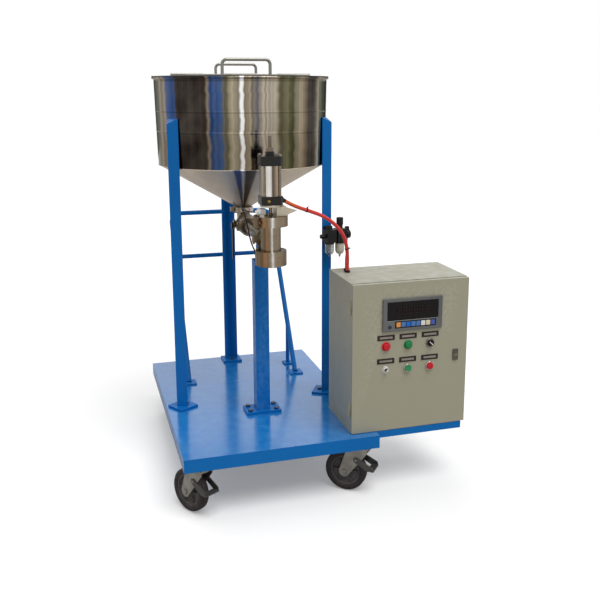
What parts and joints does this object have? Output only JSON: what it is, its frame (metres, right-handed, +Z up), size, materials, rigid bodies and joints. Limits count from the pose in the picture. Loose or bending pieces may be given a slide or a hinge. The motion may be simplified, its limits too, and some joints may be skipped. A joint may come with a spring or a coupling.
{
  "type": "oil filling machine",
  "caption": "Mobile filling machine: lidded conical hopper on angle legs over a wheeled deck, feeding a pneumatic filling valve through a ball valve, beside a control box.",
  "frame": {"origin": "floor level, at the centre of the plan bounding box", "axes": "+X to the right along the front edge, +Y to the back, +Z up"},
  "size_m": [1.0376, 1.1584, 1.501],
  "materials": {
    "blue_enamel": "gloss blue enamel",
    "cabinet_paint": "satin warm grey paint",
    "dark_paint": "satin black paint",
    "brushed_stainless": "brushed stainless steel",
    "polished_stainless": "polished stainless steel",
    "zinc": "bright zinc plate",
    "anodised": "satin anodised aluminium",
    "black_anodised": "black anodised aluminium",
    "red_rubber": "satin red hose rubber",
    "grey_rubber": "matte dark rubber",
    "black_plastic": "matte black plastic",
    "white_plastic": "matte white plastic",
    "grey_plastic": "matte grey plastic",
    "violet_plastic": "glossy dark violet tube",
    "red_plastic": "gloss red plastic",
    "green_plastic": "gloss green plastic",
    "clear_bowl": "clear polycarbonate",
    "display_glass": "smoked display window"
  },
  "bodies": {
    "machine": {"deck": "blue_enamel", "under_frame": "blue_enamel", "castor_plates": "zinc", "deck_bolts": "zinc", "leg_left": "blue_enamel", "leg_right": "blue_enamel", "leg_rear": "blue_enamel", "valve_post": "blue_enamel", "push_handle": "blue_enamel", "hopper_drum": "brushed_stainless", "hopper_cone": "brushed_stainless", "lid_bridge": "brushed_stainless", "feed_pipes": "polished_stainless", "outlet_valve_body": "polished_stainless", "line_clamps": "polished_stainless", "filling_body": "polished_stainless", "outlet_nozzle": "polished_stainless", "yoke": "anodised", "cylinder_heads": "black_anodised", "cylinder_barrel": "anodised", "tie_rods": "zinc", "air_fittings": "black_plastic", "position_sensor": "white_plastic", "sensor_cable": "grey_rubber", "unit_bracket": "black_plastic", "unit_bodies": "black_plastic", "unit_bowls": "clear_bowl", "box_body": "cabinet_paint", "control_gear": "grey_plastic", "air_hose": "red_rubber", "supply_tube": "violet_plastic"},
    "front_lid": {"lid_front": "brushed_stainless"},
    "rear_lid": {"lid_rear": "brushed_stainless"},
    "stop_valve": {"outlet_ball": "polished_stainless", "outlet_lever": "black_plastic"},
    "plunger": {"valve_plunger": "polished_stainless"},
    "regulator": {"regulator_knob": "black_plastic"},
    "door": {"box_door": "cabinet_paint", "display_bezel": "black_plastic", "display_window": "display_glass", "label_plates": "white_plastic", "switch_bezels": "zinc", "lock_plate": "dark_paint"},
    "stop_press": {"stop_button": "red_plastic"},
    "start_press": {"start_button": "green_plastic"},
    "fill_press": {"fill_button": "green_plastic"},
    "reset_press": {"reset_button": "red_plastic"},
    "selector": {"selector_knob": "black_plastic"},
    "toggle": {"toggle_lever": "zinc"},
    "lock": {"door_lock": "zinc"},
    "front_left_swivel": {"castor_fork_front_left": "zinc"},
    "front_left_wheel": {"castor_wheel_front_left": "grey_rubber"},
    "front_left_pedal": {"castor_pedal_front_left": "zinc"},
    "front_right_swivel": {"castor_fork_front_right": "zinc"},
    "front_right_wheel": {"castor_wheel_front_right": "grey_rubber"},
    "front_right_pedal": {"castor_pedal_front_right": "zinc"},
    "rear_left_swivel": {"castor_fork_rear_left": "zinc"},
    "rear_left_wheel": {"castor_wheel_rear_left": "grey_rubber"},
    "rear_right_swivel": {"castor_fork_rear_right": "zinc"},
    "rear_right_wheel": {"castor_wheel_rear_right": "grey_rubber"}
  },
  "joints": [
    {"name": "front_lid_hinge", "type": "hinge", "parent": "machine", "child": "front_lid", "pos_m": [-0.16088, 0.04538, 1.4493], "axis": [-0.991, 0.134, 0], "range_deg": [0, 75]},
    {"name": "rear_lid_hinge", "type": "hinge", "parent": "machine", "child": "rear_lid", "pos_m": [-0.15552, 0.08502, 1.4493], "axis": [0.991, -0.134, 0], "range_deg": [0, 75]},
    {"name": "outlet_lever_turn", "type": "hinge", "parent": "machine", "child": "stop_valve", "pos_m": [-0.1582, -0.0158, 0.892], "axis": [-1, 0, 0], "range_deg": [0, 90]},
    {"name": "plunger_lift", "type": "slide", "parent": "machine", "child": "plunger", "axis": [0, 0, 1], "range_m": [0, 0.03]},
    {"name": "regulator_turn", "type": "hinge", "parent": "machine", "child": "regulator", "pos_m": [0.16894, -0.14082, 0.898], "axis": [0, 0, 1], "range_deg": [-180, 180]},
    {"name": "door_hinge", "type": "hinge", "parent": "machine", "child": "door", "pos_m": [0.085, -0.5048, 0.488], "axis": [0, 0, -1], "range_deg": [0, 110]},
    {"name": "selector_turn", "type": "hinge", "parent": "door", "child": "selector", "pos_m": [0.3758, -0.5228, 0.53], "axis": [0, 1, 0], "range_deg": [-45, 45]},
    {"name": "toggle_tilt", "type": "hinge", "parent": "door", "child": "toggle", "pos_m": [0.2108, -0.5198, 0.446], "axis": [1, 0, 0], "range_deg": [-18, 18]},
    {"name": "lock_turn", "type": "hinge", "parent": "door", "child": "lock", "pos_m": [0.4748, -0.5228, 0.477], "axis": [0, -1, 0], "range_deg": [0, 90]},
    {"name": "stop_travel", "type": "slide", "parent": "door", "child": "stop_press", "axis": [0, 1, 0], "range_m": [0, 0.004], "stiffness_N_per_m": 400, "springref_m": -0.002},
    {"name": "start_travel", "type": "slide", "parent": "door", "child": "start_press", "axis": [0, 1, 0], "range_m": [0, 0.004], "stiffness_N_per_m": 400, "springref_m": -0.002},
    {"name": "fill_travel", "type": "slide", "parent": "door", "child": "fill_press", "axis": [0, 1, 0], "range_m": [0, 0.004], "stiffness_N_per_m": 400, "springref_m": -0.002},
    {"name": "reset_travel", "type": "slide", "parent": "door", "child": "reset_press", "axis": [0, 1, 0], "range_m": [0, 0.004], "stiffness_N_per_m": 400, "springref_m": -0.002},
    {"name": "front_left_swivel_turn", "type": "hinge", "parent": "machine", "child": "front_left_swivel", "pos_m": [-0.4402, -0.5138, 0.165], "axis": [0, 0, 1], "continuous": true},
    {"name": "front_left_wheel_spin", "type": "hinge", "parent": "front_left_swivel", "child": "front_left_wheel", "pos_m": [-0.46595, -0.47094, 0.075], "axis": [0.8572, 0.515, 0], "continuous": true},
    {"name": "front_left_pedal_press", "type": "hinge", "parent": "front_left_swivel", "child": "front_left_pedal", "pos_m": [-0.44329, -0.50866, 0.126], "axis": [0.8572, 0.515, 0], "range_deg": [0, 15]},
    {"name": "front_right_swivel_turn", "type": "hinge", "parent": "machine", "child": "front_right_swivel", "pos_m": [0.1238, -0.5138, 0.165], "axis": [0, 0, 1], "continuous": true},
    {"name": "front_right_wheel_spin", "type": "hinge", "parent": "front_right_swivel", "child": "front_right_wheel", "pos_m": [0.08494, -0.48233, 0.075], "axis": [0.6293, 0.7771, 0], "continuous": true},
    {"name": "front_right_pedal_press", "type": "hinge", "parent": "front_right_swivel", "child": "front_right_pedal", "pos_m": [0.11914, -0.51002, 0.126], "axis": [0.6293, 0.7771, 0], "range_deg": [0, 15]},
    {"name": "rear_left_swivel_turn", "type": "hinge", "parent": "machine", "child": "rear_left_swivel", "pos_m": [-0.4402, 0.3942, 0.165], "axis": [0, 0, 1], "continuous": true},
    {"name": "rear_left_wheel_spin", "type": "hinge", "parent": "rear_left_swivel", "child": "rear_left_wheel", "pos_m": [-0.39214, 0.40798, 0.075], "axis": [0.2756, -0.9613, 0], "continuous": true},
    {"name": "rear_right_swivel_turn", "type": "hinge", "parent": "machine", "child": "rear_right_swivel", "pos_m": [0.1238, 0.3942, 0.165], "axis": [0, 0, 1], "continuous": true},
    {"name": "rear_right_wheel_spin", "type": "hinge", "parent": "rear_right_swivel", "child": "rear_right_wheel", "pos_m": [0.07965, 0.41767, 0.075], "axis": [0.4695, 0.8829, 0], "continuous": true}
  ]
}
